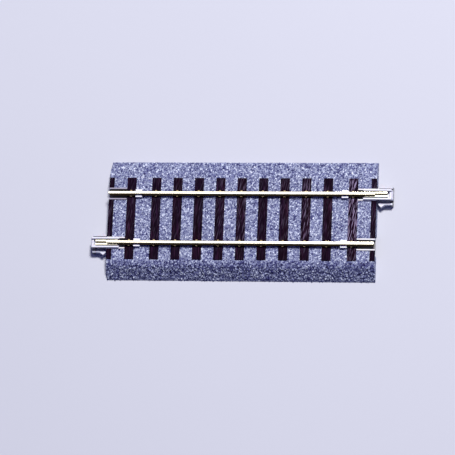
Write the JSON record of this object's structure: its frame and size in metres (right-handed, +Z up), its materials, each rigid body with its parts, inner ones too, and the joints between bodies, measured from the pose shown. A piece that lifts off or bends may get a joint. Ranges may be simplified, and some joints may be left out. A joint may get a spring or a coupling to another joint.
{
  "type": "model track section",
  "caption": "Straight model railway track section on a moulded ballast roadbed, with sleepers, metal rails and a clip-on rail joiner at each end.",
  "frame": {"origin": "middle of the section, on the surface that the roadbed stands on", "axes": "+X along the rails, +Y across them to the far side, +Z up"},
  "size_m": [0.1054, 0.042, 0.0072],
  "materials": {
    "ballast": "matte, speckled grey ballast",
    "sleeper": "matte, dark brown wood grain",
    "rail": "drawn nickel silver, polished on the head",
    "anchor": "satin light grey",
    "liner": "satin light grey",
    "joiner": "satin off-white",
    "fishplate": "folded bright metal"
  },
  "bodies": {
    "track": {"roadbed": "ballast", "sleeper_frame": "sleeper", "rail_near": "rail", "rail_far": "rail", "rail_anchor_left_near": "anchor", "pocket_liner_left_near": "liner", "rail_anchor_left_far": "anchor", "pocket_liner_left_far": "liner", "rail_anchor_right_near": "anchor", "pocket_liner_right_near": "liner", "rail_anchor_right_far": "anchor", "pocket_liner_right_far": "liner"},
    "left_joiner": {"joiner_left": "joiner", "fishplate_left": "fishplate"},
    "left_near_latch": {"latch_left_near": "joiner"},
    "left_far_latch": {"latch_left_far": "joiner"},
    "right_joiner": {"joiner_right": "joiner", "fishplate_right": "fishplate"},
    "right_near_latch": {"latch_right_near": "joiner"},
    "right_far_latch": {"latch_right_far": "joiner"}
  },
  "joints": [
    {"name": "joiner_left_pull", "type": "slide", "parent": "track", "child": "left_joiner", "axis": [-1, 0, 0], "range_m": [0, 0.01]},
    {"name": "latch_left_near_flex", "type": "hinge", "parent": "left_joiner", "child": "left_near_latch", "pos_m": [-0.0521, -0.0116, 0.0021], "axis": [0, 0, 1], "range_deg": [0, 8], "stiffness_Nm_per_rad": 0.01},
    {"name": "latch_left_far_flex", "type": "hinge", "parent": "left_joiner", "child": "left_far_latch", "pos_m": [-0.0521, -0.0059, 0.0021], "axis": [0, 0, -1], "range_deg": [0, 8], "stiffness_Nm_per_rad": 0.01},
    {"name": "joiner_right_pull", "type": "slide", "parent": "track", "child": "right_joiner", "axis": [1, 0, 0], "range_m": [0, 0.01]},
    {"name": "latch_right_near_flex", "type": "hinge", "parent": "right_joiner", "child": "right_near_latch", "pos_m": [0.0521, 0.0059, 0.0021], "axis": [0, 0, -1], "range_deg": [0, 8], "stiffness_Nm_per_rad": 0.01},
    {"name": "latch_right_far_flex", "type": "hinge", "parent": "right_joiner", "child": "right_far_latch", "pos_m": [0.0521, 0.0116, 0.0021], "axis": [0, 0, 1], "range_deg": [0, 8], "stiffness_Nm_per_rad": 0.01}
  ]
}
